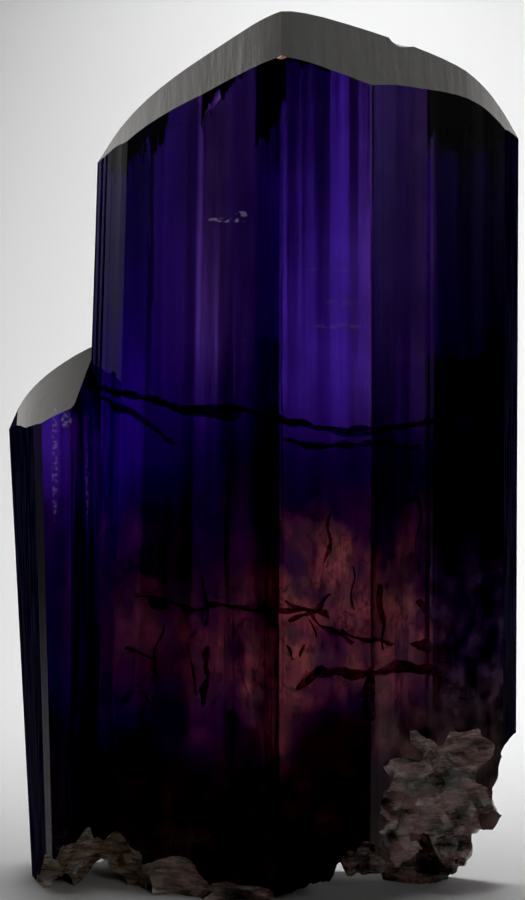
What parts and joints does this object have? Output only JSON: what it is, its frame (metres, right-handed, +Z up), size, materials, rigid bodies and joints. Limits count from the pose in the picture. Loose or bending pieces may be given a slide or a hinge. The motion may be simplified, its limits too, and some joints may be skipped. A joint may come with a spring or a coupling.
{
  "type": "rough tanzanite crystal",
  "caption": "Rough violet tanzanite: a broad, striated prism with a shorter one grown beside it, sloping tips and a broken foot that stands on a flat spot.",
  "frame": {"origin": "centre of the bounding box, on the surface that the stone stands on", "axes": "+X across the broad face with the short crystal at -X, -Y is the front, +Z up along the crystals"},
  "size_m": [0.0278, 0.0156, 0.048],
  "materials": {
    "violet_stone": "clear violet stone, striated prism faces, broken foot"
  },
  "bodies": {
    "root": {"tanzanite_crystal": "violet_stone"}
  },
  "joints": []
}
